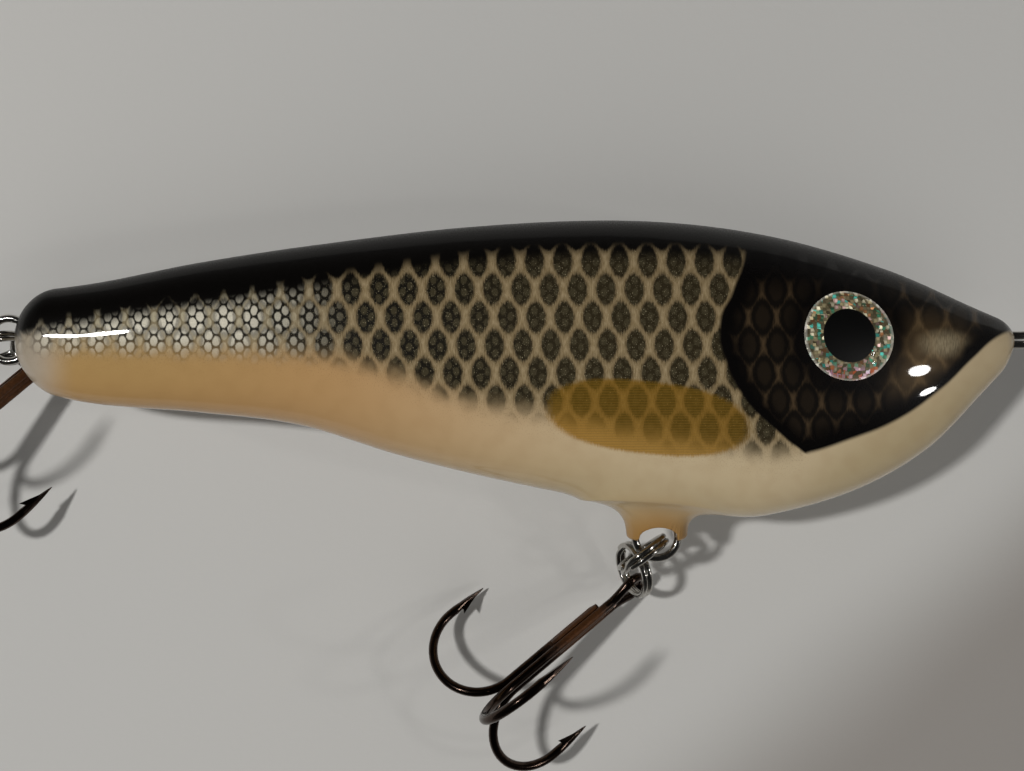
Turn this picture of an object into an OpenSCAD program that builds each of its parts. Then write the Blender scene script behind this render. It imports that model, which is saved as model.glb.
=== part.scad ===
// Hard-bodied pike lure, lying on its left flank with its nose towards +X and its back towards +Y.
// Two moulded half shells hold steel ballast and three wire eyes.
// Each of the two lower eyes carries a pair of split rings and a treble hook.

/* [Body] */
// Length of the body from the tail end to the nose
body_len = 150; // [130:1:180]
// Height of the body at its deepest section
body_h = 44.2; // [38:0.2:53]
// Thickness of the body at its widest section
body_t = 26; // [23:0.5:31]
// Wall of the moulded half shells
wall = 1.8; // [1.4:0.1:2.2]
// Distance of the belly nub from the tail end
nub_x = 96.3; // [84:0.1:112]
// Width of the nub at its foot, along the body
nub_w = 9.2; // [8.6:0.1:12]
// Thickness of the nub at its foot, across the body
nub_t = 6.4; // [4:0.2:9]
// Radius of the concave flare between the nub and the belly
nub_flare = 7; // [4:0.5:10]

/* [Eyes of the fish] */
// Diameter of the domed lens
eye_d = 12.8; // [9:0.1:15]
// Distance of the eye from the tail end
eye_x = 121.5; // [116:0.5:126]
// Height of the lens from its base to the top of its dome
lens_h = 2.2; // [1.6:0.1:3]
// Thickness of the printed foil disc under the lens
foil_t = 0.3; // [0.2:0.05:0.5]

/* [Wire eyes] */
// Wire of the line tie and of both hook hangers
eye_wire_d = 1.2; // [0.9:0.1:1.4]
// Outside diameter of the two hook hangers' loops
hanger_od = 7.7; // [7:0.1:10]
// Outside diameter of the line tie's loop
tie_od = 6.6; // [5.6:0.1:9]

/* [Split rings] */
// Outside diameter of a split ring
ring_od = 9; // [8:0.1:11]
// Wire of a split ring, which makes two turns
ring_wire_d = 0.9; // [0.7:0.05:1]

/* [Treble hooks] */
// Length of a hook from the middle of its eye to the foot of its bends
hook_len = 31.7; // [26:0.1:38]
// Distance from the shank's axis to a point
hook_reach = 15.8; // [12:0.1:19]
// Height of a point above the foot of its bend
point_h = 14; // [11:0.5:16]
// Wire of the hooks
hook_wire_d = 1.4; // [1.1:0.05:1.6]
// Diameter of the hole in a hook's eye
hook_eye_id = 3; // [2.7:0.1:3.6]

/* [Ballast] */
// Diameter of the two main steel weights
ballast_d = 10; // [7:0.5:12]
// Length of the two main steel weights
ballast_len = 14; // [8:0.5:15]
// Diameter of the rear steel weight
rear_ballast_d = 7; // [5:0.5:8.5]
// Length of the rear steel weight
rear_ballast_len = 8; // [5:0.5:9]

/* [Fits] */
// Gap around whatever sits in a pocket of the shells
fit = 0.1; // [0.05:0.05:0.2]
// Diameter of the pins that line the shells up
peg_d = 3; // [2:0.5:4]

/* [Hidden] */

STATIONS = 34;   // rings of points along a loft
AROUND = 12;     // steps from belly to back on one side
FINE = 48;       // sides of a turned surface

// Outlines of the body as [share of the length, share of the height above or below the axis],
// and of its thickness as [share of the length, share of the half thickness].
BACK = [[0, 0.158], [0.083, 0.195], [0.183, 0.262], [0.304, 0.324], [0.465, 0.386],
        [0.62, 0.403], [0.747, 0.355], [0.867, 0.24], [0.958, 0.108], [1, 0.05]];
BELLY = [[0, 0.156], [0.072, 0.215], [0.183, 0.247], [0.284, 0.29], [0.384, 0.393],
         [0.485, 0.477], [0.6, 0.552], [0.7, 0.595], [0.747, 0.597], [0.837, 0.511],
         [0.907, 0.376], [0.963, 0.188], [1, 0.06]];
FLANK = [[0, 0.4], [0.1, 0.48], [0.25, 0.62], [0.45, 0.82], [0.62, 0.97], [0.7, 1],
         [0.8, 0.955], [0.9, 0.74], [0.96, 0.47], [1, 0.2]];
SECTION_POWER = 2.15; // 2 is an ellipse, more is boxier
TAIL_ROUND = 6;       // how far the tail end is rounded back
NOSE_ROUND = 3;       // the same at the nose

// Height of the outlines over a place: a smooth curve through the points.
function slope(p, i) = i == 0 ? (p[1][1] - p[0][1]) / (p[1][0] - p[0][0])
    : i == len(p) - 1 ? (p[i][1] - p[i-1][1]) / (p[i][0] - p[i-1][0])
    : (p[i+1][1] - p[i-1][1]) / (p[i+1][0] - p[i-1][0]);
function span_of(p, t) = max([for (i = [0 : len(p) - 2]) if (p[i][0] <= t) i]);
function blend(a, b, ma, mb, w, u) =
    (2*u*u*u - 3*u*u + 1) * a + (u*u*u - 2*u*u + u) * w * ma
    + (-2*u*u*u + 3*u*u) * b + (u*u*u - u*u) * w * mb;
function curve(p, t) = let (i = span_of(p, t), w = p[i+1][0] - p[i][0])
    blend(p[i][1], p[i+1][1], slope(p, i), slope(p, i+1), w, (t - p[i][0]) / w);
function rounding(x, r) = x >= r ? 1 : sqrt(max(0, 1 - pow(1 - x / r, 2)));
function ends(x, inset) = rounding(x - inset, TAIL_ROUND)
    * rounding(body_len - inset - x, NOSE_ROUND);

function back_y(x, inset) = (curve(BACK, x / body_len) * body_h - inset) * ends(x, inset);
function belly_y(x, inset) = (inset - curve(BELLY, x / body_len) * body_h) * ends(x, inset);
function flank_z(x, inset) = (curve(FLANK, x / body_len) * body_t / 2 - inset) * ends(x, inset);

// One point of a section: angle -90 is the keel, 0 the flank and 90 the back.
function keen(v) = sign(v) * pow(abs(v), 2 / SECTION_POWER);
function skin_point(x, a, inset) = let (b = back_y(x, inset), k = belly_y(x, inset))
    [x, (b + k) / 2 + keen(sin(a)) * (b - k) / 2, abs(a) == 90 ? 0 : keen(cos(a)) * flank_z(x, inset)];
function station(i, inset) = let (first = inset + 0.05, last = body_len - inset - 0.05)
    first + (last - first) * (1 - cos(180 * i / STATIONS)) / 2;
function half_skin(inset) = [for (i = [0 : STATIONS], j = [0 : AROUND])
    skin_point(station(i, inset), -90 + 180 * j / AROUND, inset)];

// Height of the outside of the flank over a point of the centre plane.
function flank_at(x, y) = let (b = back_y(x, 0), k = belly_y(x, 0), e = (2*y - b - k) / (b - k))
    flank_z(x, 0) * pow(1 - pow(abs(e), SECTION_POWER), 1 / SECTION_POWER);

ROW = AROUND + 1;
COUNT = (STATIONS + 1) * ROW;
function grid_faces(start, flip) = [for (i = [0 : STATIONS - 1], j = [0 : AROUND - 1])
    let (a = start + i * ROW + j, q = [a, a + 1, a + ROW + 1, a + ROW])
    for (f = [[q[0], q[1], q[2]], [q[0], q[2], q[3]]]) flip ? [f[2], f[1], f[0]] : f];
function end_face(start, i, flip) = let (f = [for (j = [0 : AROUND]) start + i * ROW + j])
    flip ? [for (j = [AROUND : -1 : 0]) f[j]] : f;
// The parting face of a hollow half, a strip along the keel, one along the back and two ends.
function rim_faces() = concat(
    [for (i = [0 : STATIONS - 1]) let (a = i * ROW) [a, a + ROW, COUNT + a + ROW, COUNT + a]],
    [for (i = [0 : STATIONS - 1]) let (a = i * ROW + AROUND) [a + ROW, a, COUNT + a, COUNT + a + ROW]],
    [[AROUND, 0, COUNT, COUNT + AROUND]],
    [let (a = STATIONS * ROW) [a, a + AROUND, COUNT + a + AROUND, COUNT + a]]);

// Directions by compass angle and rise, and the plane of a ring by its normal.
function dir(az, el) = [cos(el) * cos(az), cos(el) * sin(az), sin(el)];
function unit(v) = v / norm(v);
function on_plane(n, a) = let (u = unit(cross([0, 0, 1], n))) cos(a) * u + sin(a) * cross(n, u);

// Split rings: each lies on the strand of the one before it.
ring_r = (ring_od - ring_wire_d) / 2;
strand = [0.82, -0.78, 0];        // where a ring passes through the belly hanger, from its middle
tail_strand = [-0.44, 0.62, 0];   // the same in the tail hanger
hanger_r = (hanger_od - eye_wire_d) / 2;
nub_y = -29.63 / 44.2 * body_h;   // middle of the belly hanger's loop, at the nub's foot
belly_eye = [nub_x, nub_y, 0];
tail_eye = [-1.35, 0, 0];
tie_r = (tie_od - eye_wire_d) / 2;
tie_neck = 2.2;                   // bare wire between the nose and the loop
tie_eye = [body_len + tie_neck + tie_r, 0, 0];

belly_upper_n = dir(126.3, -8);
belly_upper_c = belly_eye + strand - ring_r * on_plane(belly_upper_n, 146.7);
belly_link = belly_upper_c + (ring_r - 2.46) * on_plane(belly_upper_n, -67.6);
belly_lower_n = dir(14.3, -21);
belly_lower_c = belly_link - ring_r * on_plane(belly_lower_n, 52.8);
belly_hook_at = belly_lower_c + ring_r * on_plane(belly_lower_n, -142);
belly_hook_axis = on_plane(belly_lower_n, -52);

tail_upper_n = dir(-66.4, 13.5);
tail_upper_c = tail_eye + tail_strand - ring_r * on_plane(tail_upper_n, 36.9);
tail_link = tail_upper_c + (ring_r - 1.6) * on_plane(tail_upper_n, -30.7);
tail_lower_n = dir(-143.6, -48.8);
tail_lower_c = tail_link - ring_r * on_plane(tail_lower_n, 121.9);
tail_hook_at = tail_lower_c + ring_r * on_plane(tail_lower_n, -84.7);
tail_hook_axis = on_plane(tail_lower_n, 5.3);

// Treble hooks: compass angle and rise of the shank from eye to bends, and where the prongs stand.
belly_hook = [belly_hook_at, 215.7, 18.5, 125];
tail_hook = [tail_hook_at, 225.6, 18.5, 244.7];
hook_r = hook_wire_d / 2;
wire_gap = 0.06;                                  // between two wires of a shank
cluster_r = (hook_wire_d + wire_gap) / sqrt(3);   // shank's axis to the middle of each wire
hook_eye_r = hook_eye_id / 2 + hook_r;
bend_r = (hook_reach - cluster_r) / 2;
half_pitch = (hook_wire_d + wire_gap) / 2;
eye_slant = 3.4;                                     // length of the eye's tapering throat
neck_x = hook_eye_r * cos(62) + eye_slant;           // where its two legs run side by side
single_x = 6.2;        // where the shank of the single hook starts
braze_len = 9;         // length of the brazed seam
braze_r = 1.2;         // outside of the braze in the grooves
cone_len = 4.4;        // tapered part of a point

function hook_h(k) = dir(k[1], k[2]);
function hook_radial(k, a) = cos(a) * dir(k[1], k[2] + 90) + sin(a) * cross(hook_h(k), dir(k[1], k[2] + 90));
function hook_axis_at(k) = k[0] + cluster_r / 2 * hook_radial(k, k[3]);
function bend_points(k) = [for (p = [0, 120, 240], a = [-90 : 15 : 90])
    hook_axis_at(k) + (hook_len - bend_r + bend_r * cos(a)) * hook_h(k)
    + (cluster_r + bend_r + bend_r * sin(a)) * hook_radial(k, k[3] + p)];

// The frame's origin is under the middle of everything, on the surface that the lure lies on.
low_x = min([for (p = bend_points(tail_hook)) p[0]]) - hook_r;
high_x = tie_eye[0] + tie_od / 2;
low_y = min([for (p = bend_points(belly_hook)) p[1]]) - hook_r;
high_y = max([for (x = [0 : 2 : body_len]) back_y(x, 0)]);
origin = [(low_x + high_x) / 2, (low_y + high_y) / 2, -body_t / 2];

eye_y = 0.1;           // height of the eye above the axis
eye_up = 9;            // how far it faces towards the back, in degrees
eye_ahead = 6;         // how far it faces towards the nose
eye_sink = 1.1;        // depth of its pocket at the middle
lens_edge = 0.7;       // straight edge of the lens

// Places of the weights and pegs, as [x from the tail end, y from the axis].
front_weight_at = [117, -12];
middle_weight_at = [77, -7];
rear_weight_at = [46, -1.5];
PEGS = [[22, 0], [60, 4], [90, 8], [133, -2]];
peg_len = 3;
post_d = peg_d + 2.6;
web_t = 3.2;           // half thickness of the plastic that grips a wire

// ---- building blocks ----

module lying() { translate(-origin) children(); }

module half_solid(inset) {
    polyhedron(points = half_skin(inset),
        faces = concat(grid_faces(0, false), [end_face(0, 0, true), end_face(0, STATIONS, false)],
            [concat([for (i = [0 : STATIONS]) i * ROW], [for (i = [STATIONS : -1 : 0]) i * ROW + AROUND])]));
}

module half_hollow() {
    polyhedron(points = concat(half_skin(0), half_skin(wall)),
        faces = concat(grid_faces(0, false), grid_faces(COUNT, true),
            [end_face(0, 0, true), end_face(0, STATIONS, false)],
            [end_face(COUNT, 0, false), end_face(COUNT, STATIONS, true)], rim_faces()));
}

module arc_wire(ring_radius, wire_radius, from, sweep) {
    rotate(from) rotate_extrude(angle = sweep, $fn = 96)
        translate([ring_radius, 0]) circle(r = wire_radius, $fn = FINE);
}

CORNER_TURN = [35, 20, 50]; // keeps the poles of the corner balls off the wires

// Loop whose two ends leave it along straight wires and then turn to run side by side.
// A hair of extra wire at each corner keeps the union clean.
module closed_loop(loop_r, wire_r, open, slant, pitch) {
    knee = [loop_r * cos(open) + slant, pitch, 0];
    start = [loop_r * cos(open), loop_r * sin(open), 0];
    run = knee - start;
    gap = 0.15 * wire_r;
    hair = 1.06 * wire_r;
    trim = gap / loop_r * 57.3;
    arc_wire(loop_r, wire_r, open + trim, 360 - 2 * (open + trim));
    for (s = [-1, 1]) {
        translate([start[0], s * start[1], 0]) rotate(CORNER_TURN) sphere(r = hair, $fn = FINE);
        translate([start[0], s * start[1], 0]) rotate([0, 90, s * atan2(run[1], run[0])])
            translate([0, 0, gap]) cylinder(h = norm(run) - 2 * gap, r = wire_r, $fn = FINE);
        translate([knee[0], s * knee[1], 0]) rotate(CORNER_TURN) sphere(r = hair, $fn = FINE);
    }
}

// Wire eye with two legs that end in outward turns, the loop in the middle of its frame.
eye_pitch = eye_wire_d / 2 + 0.1;
toe_r = 1.5;
module wire_eye(loop_r, leg) {
    r = eye_wire_d / 2;
    slant = loop_r * 0.75;
    neck = loop_r * cos(60) + slant;
    closed_loop(loop_r, r, 60, slant, eye_pitch);
    for (s = [-1, 1]) {
        translate([neck + 0.15 * r, s * eye_pitch, 0]) rotate([0, 90, 0])
            cylinder(h = leg - neck - 0.15 * r, r = r, $fn = FINE);
        translate([leg, s * (eye_pitch + toe_r), 0]) arc_wire(toe_r, r, s > 0 ? -90 : 0, 90);
    }
}
// Room for that wire in one half: straight-sided, a little deeper than half the wire.
module wire_pocket(loop_r, leg) {
    r = eye_wire_d / 2 + fit;
    toe = eye_pitch + toe_r + fit;
    throat = 0.5;
    translate([0, 0, -1]) cylinder(h = r + 1, r = loop_r + r + throat, $fn = FINE);
    translate([0, -eye_pitch - r, -1]) cube([leg + toe_r, 2 * (eye_pitch + r), r + 1]);
    translate([leg + toe_r - r, -toe, -1]) cube([2 * r, 2 * toe, r + 1]);
    translate([leg - r, -toe, -1]) cube([toe_r + r, 2 * toe, r + 1]);
}

belly_leg = hanger_r + 8;
tail_leg = hanger_r + 9;
tie_leg = tie_r + tie_neck + 8;
module at_belly() { translate(belly_eye) rotate(90) children(); }
module at_tail() { translate(tail_eye) children(); }
module at_nose() { translate(tie_eye) rotate(180) children(); }

// Nub under the belly: a flat foot that flares into the keel. NUB_ROOT reaches into the body.
NUB_ROOT = 4;
module nub() {
    foot = nub_w / 2;
    wide = foot + nub_flare;
    translate([nub_x, nub_y - 0.4, 0]) difference() {
        translate([-wide, 0, 0]) cube([2 * wide, nub_flare + NUB_ROOT, nub_t / 2]);
        for (s = [-1, 1]) translate([s * wide, 0, -1]) cylinder(h = nub_t, r = nub_flare, $fn = FINE);
    }
}

// Room in which a split ring swings at a hanger: open to the outside, shallow towards the body.
module ring_notch(depth, reach) {
    translate([0, 0, -body_t / 2]) {
        scale([1, depth / reach, 1]) cylinder(h = body_t, r = reach, $fn = FINE);
        translate([-reach, -2 * reach, 0]) cube([2 * reach, 2 * reach, body_t]);
    }
}

module eye_place() {
    translate([eye_x, eye_y, flank_at(eye_x, eye_y)]) rotate([-eye_up, eye_ahead, 0]) children();
}

// Boss on the parting plane that ends inside the wall of the flank.
function boss_top(at, r) = min([for (a = [0 : 30 : 330])
    flank_at(at[0] + r * cos(a), at[1] + r * sin(a))]) - 0.4 * wall;
module boss(at, d) { translate(concat(at, [0])) cylinder(h = boss_top(at, d / 2), d = d, $fn = FINE); }

module weight_pocket(at, d, length) {
    translate([at[0], at[1], -1]) cylinder(h = length / 2 + fit + 1, r = d / 2 + fit, $fn = FINE);
}

// One half of the body with z = 0 at its parting face. The two differ in their pegs and sockets.
module half_shell(has_pegs) {
    difference() {
        union() {
            half_hollow();
            boss(front_weight_at, ballast_d + 3);
            boss(middle_weight_at, ballast_d + 3);
            boss(rear_weight_at, rear_ballast_d + 3);
            for (p = PEGS) boss(p, post_d);
            translate([body_len - 18, -3.5, 0]) cube([12, 6, web_t]);
            translate([wall / 2, -3.6, 0]) cube([16, 7.2, web_t]);
            translate([nub_x - 4.2, nub_y + 4.4, 0]) cube([8.4, 15, web_t - 0.4]);
            eye_place() translate([0, 0, -3.6]) cylinder(h = 3, d = eye_d + 2.4, $fn = FINE);
            nub();
        }
        weight_pocket(front_weight_at, ballast_d, ballast_len);
        weight_pocket(middle_weight_at, ballast_d, ballast_len);
        weight_pocket(rear_weight_at, rear_ballast_d, rear_ballast_len);
        at_belly() wire_pocket(hanger_r, belly_leg);
        at_tail() wire_pocket(hanger_r, tail_leg);
        at_nose() wire_pocket(tie_r, tie_leg);
        translate(belly_eye) ring_notch(1.75, hanger_r - eye_wire_d / 2 + 0.25);
        translate(tail_eye) rotate(-90) ring_notch(2, hanger_r - eye_wire_d / 2 + 0.25);
        eye_place() translate([0, 0, -eye_sink]) cylinder(h = 8, d = eye_d + 2 * fit, $fn = 96);
        if (!has_pegs) for (p = PEGS) translate([p[0], p[1], -1])
            cylinder(h = peg_len + 1 + 2 * fit, d = peg_d + 2 * fit, $fn = FINE);
    }
}

// ---- sub-parts ----

module body_shell_right() { color("#8c7a50") lying() half_shell(false); }

module body_shell_left() {
    color("#c9b184") lying() mirror([0, 0, 1]) half_shell(true);
    color("#c9b184") lying() for (p = PEGS) translate([p[0], p[1], -1])
        cylinder(h = peg_len + 1, d = peg_d, $fn = FINE);
}

module nose_line_tie() { color("#c8c9cb") lying() at_nose() wire_eye(tie_r, tie_leg); }
module belly_hanger() { color("#c8c9cb") lying() at_belly() wire_eye(hanger_r, belly_leg); }
module tail_hanger() { color("#c8c9cb") lying() at_tail() wire_eye(hanger_r, tail_leg); }

module weight(at, d, length) {
    color("#7b7d80") lying() translate([at[0], at[1], -length / 2]) cylinder(h = length, d = d, $fn = FINE);
}
module ballast_front() { weight(front_weight_at, ballast_d, ballast_len); }
module ballast_middle() { weight(middle_weight_at, ballast_d, ballast_len); }
module ballast_rear() { weight(rear_weight_at, rear_ballast_d, rear_ballast_len); }

module foil() {
    eye_place() translate([0, 0, -eye_sink]) cylinder(h = foil_t, d = eye_d, $fn = 96);
}

// Straight edge, then a dome cut from a ball.
module lens() {
    dome_h = lens_h - lens_edge;
    ball_r = (eye_d * eye_d / 4 + dome_h * dome_h) / (2 * dome_h);
    eye_place() translate([0, 0, foil_t - eye_sink]) intersection() {
        cylinder(h = lens_h, d = eye_d, $fn = 96);
        translate([0, 0, lens_h - ball_r]) sphere(r = ball_r, $fn = 96);
    }
}

module eye_foil_right() { color("#9fb0a4") lying() foil(); }
module eye_foil_left() { color("#9fb0a4") lying() mirror([0, 0, 1]) foil(); }
module eye_lens_right() { color("#dfe8ea") lying() lens(); }
module eye_lens_left() { color("#dfe8ea") lying() mirror([0, 0, 1]) lens(); }

// Two turns of round wire, pressed flat against each other.
module split_ring(centre, normal) {
    turn = 0.47 * ring_wire_d;
    color("#d3d5d8") lying() translate(centre) rotate([0, acos(normal[2]), atan2(normal[1], normal[0])])
        rotate_extrude($fn = 96) for (s = [-1, 1]) translate([ring_r, s * turn])
            circle(d = ring_wire_d, $fn = FINE);
}

module belly_ring_upper() { split_ring(belly_upper_c, belly_upper_n); }
module belly_ring_lower() { split_ring(belly_lower_c, belly_lower_n); }
module tail_ring_upper() { split_ring(tail_upper_c, tail_upper_n); }
module tail_ring_lower() { split_ring(tail_lower_c, tail_lower_n); }

// A hook's own frame: x along the shank from the eye, z towards the single hook.
module hook_frame(k) {
    x = hook_h(k);
    z = hook_radial(k, k[3]);
    y = cross(z, x);
    lying() multmatrix([[x[0], y[0], z[0], k[0][0]], [x[1], y[1], z[1], k[0][1]],
        [x[2], y[2], z[2], k[0][2]], [0, 0, 0, 1]]) children();
}

// One prong that stands out along z from the shank's axis: shank, round bend, point and barb.
// The same hair of extra wire joins the bend to its two ends.
module prong(start) {
    gap = 0.15 * hook_r;
    trim = gap / bend_r * 57.3;
    bend_x = hook_len - bend_r;
    straight = point_h - bend_r - cone_len;
    translate([start, 0, cluster_r]) rotate([0, 90, 0])
        cylinder(h = bend_x - gap - start, r = hook_r, $fn = FINE);
    for (z = [cluster_r, hook_reach]) translate([bend_x, 0, z]) sphere(r = 1.06 * hook_r, $fn = FINE);
    translate([bend_x, 0, cluster_r + bend_r]) rotate([90, 0, 0])
        arc_wire(bend_r, hook_r, -90 + trim, 180 - 2 * trim);
    translate([bend_x - gap, 0, hook_reach]) rotate([0, -90, 0]) rotate_extrude($fn = FINE)
        polygon([[0, 0], [hook_r, 0], [hook_r, straight], [0.08, straight + cone_len],
            [0, straight + cone_len]]);
    translate([bend_x - straight, -0.22, hook_reach]) rotate([-90, 0, 0])
        linear_extrude(0.44) polygon([[-2.7, 0.2], [0.2, 1.35], [-0.5, 0.1]]);
}

// One wire: an eye whose legs close in and run on as two prongs.
module hook_double(k) {
    color("#2b2523") hook_frame(k) {
        closed_loop(hook_eye_r, hook_r, 62, eye_slant, half_pitch);
        translate([0, 0, cluster_r / 2]) for (a = [120, 240]) rotate([a, 0, 0])
            prong(neck_x + 0.15 * hook_r);
    }
}

module hook_single(k) {
    color("#2b2523") hook_frame(k) translate([0, 0, cluster_r / 2]) prong(single_x);
}

// Braze that fills the grooves between the three wires.
module hook_braze(k) {
    color("#6b4a2c") hook_frame(k) translate([single_x + 0.3, 0, cluster_r / 2]) rotate([0, 90, 0])
        difference() {
            cylinder(h = braze_len, r = braze_r, $fn = FINE);
            for (a = [0, 120, 240]) rotate(a) translate([-cluster_r, 0, -1])
                cylinder(h = braze_len + 2, r = hook_r, $fn = FINE);
        }
}

module belly_hook_double() { hook_double(belly_hook); }
module belly_hook_single() { hook_single(belly_hook); }
module belly_hook_braze() { hook_braze(belly_hook); }
module tail_hook_double() { hook_double(tail_hook); }
module tail_hook_single() { hook_single(tail_hook); }
module tail_hook_braze() { hook_braze(tail_hook); }

body_shell_right();
body_shell_left();
nose_line_tie();
belly_hanger();
tail_hanger();
ballast_front();
ballast_middle();
ballast_rear();
eye_foil_right();
eye_foil_left();
eye_lens_right();
eye_lens_left();
belly_ring_upper();
belly_ring_lower();
tail_ring_upper();
tail_ring_lower();
belly_hook_double();
belly_hook_single();
belly_hook_braze();
tail_hook_double();
tail_hook_single();
tail_hook_braze();
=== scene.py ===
"""Looks of a hard-bodied pike lure on white paper, built around its CAD bodies.

Each flank is one printed and clear-coated skin. The eyes, wire eyes, split rings and hooks are finer pieces
that stand for their CAD nodes; the brazed seams and the weights keep the CAD shape.
"""

import math

import bpy
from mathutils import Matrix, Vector


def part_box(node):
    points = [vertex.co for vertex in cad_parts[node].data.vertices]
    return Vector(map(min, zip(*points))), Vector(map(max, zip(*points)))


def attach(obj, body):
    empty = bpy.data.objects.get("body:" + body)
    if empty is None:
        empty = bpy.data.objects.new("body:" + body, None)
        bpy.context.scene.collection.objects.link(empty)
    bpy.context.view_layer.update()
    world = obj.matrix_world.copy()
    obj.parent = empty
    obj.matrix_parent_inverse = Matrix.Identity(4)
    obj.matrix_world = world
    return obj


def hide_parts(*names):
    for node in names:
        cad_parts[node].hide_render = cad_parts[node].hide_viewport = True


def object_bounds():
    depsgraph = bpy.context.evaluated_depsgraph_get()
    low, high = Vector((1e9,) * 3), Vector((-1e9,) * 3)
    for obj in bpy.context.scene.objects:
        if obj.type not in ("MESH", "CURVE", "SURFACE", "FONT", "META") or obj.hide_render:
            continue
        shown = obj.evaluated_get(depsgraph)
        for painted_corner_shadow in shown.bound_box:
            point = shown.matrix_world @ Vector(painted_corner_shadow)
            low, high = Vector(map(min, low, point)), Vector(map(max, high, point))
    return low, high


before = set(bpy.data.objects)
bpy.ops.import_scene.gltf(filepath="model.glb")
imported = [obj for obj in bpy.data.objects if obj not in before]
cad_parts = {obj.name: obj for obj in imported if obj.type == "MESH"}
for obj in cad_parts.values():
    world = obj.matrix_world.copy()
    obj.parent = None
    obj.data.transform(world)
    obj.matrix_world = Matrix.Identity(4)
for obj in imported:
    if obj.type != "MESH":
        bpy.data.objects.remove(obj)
cad_box = [list(v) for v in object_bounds()]
scene = bpy.context.scene

# ---------------------------------------------------------------- places
# Millimetres counted from the tail end, from the hangers' axis and from the parting plane, as in the CAD.
MM = 0.001
shell_low = Vector(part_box("body_shell_right")[0])
tie_low, tie_high = (Vector(v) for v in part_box("nose_line_tie"))
TAIL_INSET = 0.05  # the tail end's first section stands this far inside the outline
BASE = Vector((shell_low.x - TAIL_INSET * MM, (tie_low.y + tie_high.y) / 2, (tie_low.z + tie_high.z) / 2))

# Sizes of the pieces, as in the CAD. Only the eye is a little smaller here, and drawn out along the body.
BODY_LEN, BODY_H, BODY_T = 150.0, 44.2, 26.0
NUB_X, NUB_Y, NUB_W, NUB_T, NUB_FLARE = 96.3, -29.63, 9.2, 6.4, 7.0
RING_OD, RING_WIRE, EYE_WIRE = 9.0, 0.9, 1.2
HANGER_OD, TIE_OD, TIE_NECK = 7.7, 6.6, 2.2
HOOK_LEN, HOOK_REACH, POINT_H, HOOK_WIRE, HOOK_EYE_ID = 31.7, 15.8, 14.0, 1.4, 3.0
EYE_X, EYE_Y, EYE_R, EYE_STRETCH = 121.4, 0.1, 6.3, 1.03
TAIL_EYE_X = -1.35                     # middle of the tail hanger's loop
NOTCH_PLAY = 0.25                      # how far a notch reaches past the bore of its hanger
NOTCH_R = HANGER_OD / 2 - EYE_WIRE + NOTCH_PLAY
NUB_NOTCH, TAIL_NOTCH = 1.75, 2.0      # depths of the notches in the nub and in the tail end


def place(x, y, z):
    """Point of the scene from millimetres along, up and out of the body."""
    return BASE + Vector((x, y, z)) * MM


# ---------------------------------------------------------------- camera
# Straight down over the middle of the flank, 150 mm above the parting plane.
EYE_OVER = (74.5, -6.86, 150.0)
camera_data = bpy.data.cameras.new("camera")
camera = bpy.data.objects.new("camera", camera_data)
scene.collection.objects.link(camera)
camera.location = place(*EYE_OVER)
camera_data.lens = 34.97          # frames the body with its nose and tail just inside the view
camera_data.sensor_width = 36.0
camera_data.clip_start = 0.005
scene.camera = camera
scene.render.resolution_x = 1024
scene.render.resolution_y = 771
scene.view_settings.view_transform = "Standard"


# ---------------------------------------------------------------- node helpers
def lin(hexa):
    """Linear colour from a hex code."""
    parts = [int(hexa[i:i + 2], 16) / 255 for i in (1, 3, 5)]
    return tuple(c / 12.92 if c <= 0.04045 else ((c + 0.055) / 1.055) ** 2.4 for c in parts) + (1.0,)


def add(tree, kind, sockets=None, **props):
    """New node with its settings; a socket takes a value or another node's output."""
    n = tree.nodes.new(kind)
    for k, v in props.items():
        setattr(n, k, v)
    for k, v in (sockets or {}).items():
        if isinstance(v, bpy.types.NodeSocket):
            tree.links.new(v, n.inputs[k])
        else:
            n.inputs[k].default_value = v
    return n


def calc(tree, op, a, b=0.0, c=0.0):
    """Result of one math node."""
    return add(tree, "ShaderNodeMath", {0: a, 1: b, 2: c}, operation=op).outputs[0]


def length_of(tree, a, b):
    """Length of the vector with these two parts."""
    return calc(tree, "SQRT", calc(tree, "ADD", calc(tree, "MULTIPLY", a, a), calc(tree, "MULTIPLY", b, b)))


def far_from(tree, u, v, at_u, at_v, half_u=1.0, half_v=1.0):
    """Distance from a spot of the print, as a share of an ellipse round it."""
    return length_of(tree, calc(tree, "DIVIDE", calc(tree, "SUBTRACT", u, at_u), half_u),
                     calc(tree, "DIVIDE", calc(tree, "SUBTRACT", v, at_v), half_v))


def step(tree, value, low, high, out_low=0.0, out_high=1.0):
    """Smooth ramp from out_low at low to out_high at high."""
    n = add(tree, "ShaderNodeMapRange", {"Value": value, "From Min": low, "From Max": high,
            "To Min": out_low, "To Max": out_high}, interpolation_type="SMOOTHSTEP")
    return n.outputs["Result"]


def curve(tree, value, points, low, high):
    """Height of a smooth curve through points, given as [place along the body, height]."""
    n = add(tree, "ShaderNodeFloatCurve", {"Value": calc(tree, "DIVIDE", value, BODY_LEN)})
    line = n.mapping.curves[0]
    wanted = [(x / BODY_LEN, (y - low) / (high - low)) for x, y in points]
    line.points[0].location = wanted[0]
    line.points[1].location = wanted[-1]
    for p in wanted[1:-1]:
        line.points.new(*p)
    n.mapping.update()
    return calc(tree, "MULTIPLY_ADD", n.outputs["Value"], high - low, low)


def blend(tree, factor, a, b):
    """Colour from a to b by factor."""
    n = add(tree, "ShaderNodeMix", {0: factor}, data_type="RGBA")
    for socket, v in ((n.inputs[6], a), (n.inputs[7], b)):
        if isinstance(v, bpy.types.NodeSocket):
            tree.links.new(v, socket)
        else:
            socket.default_value = v
    return n.outputs[2]


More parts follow.
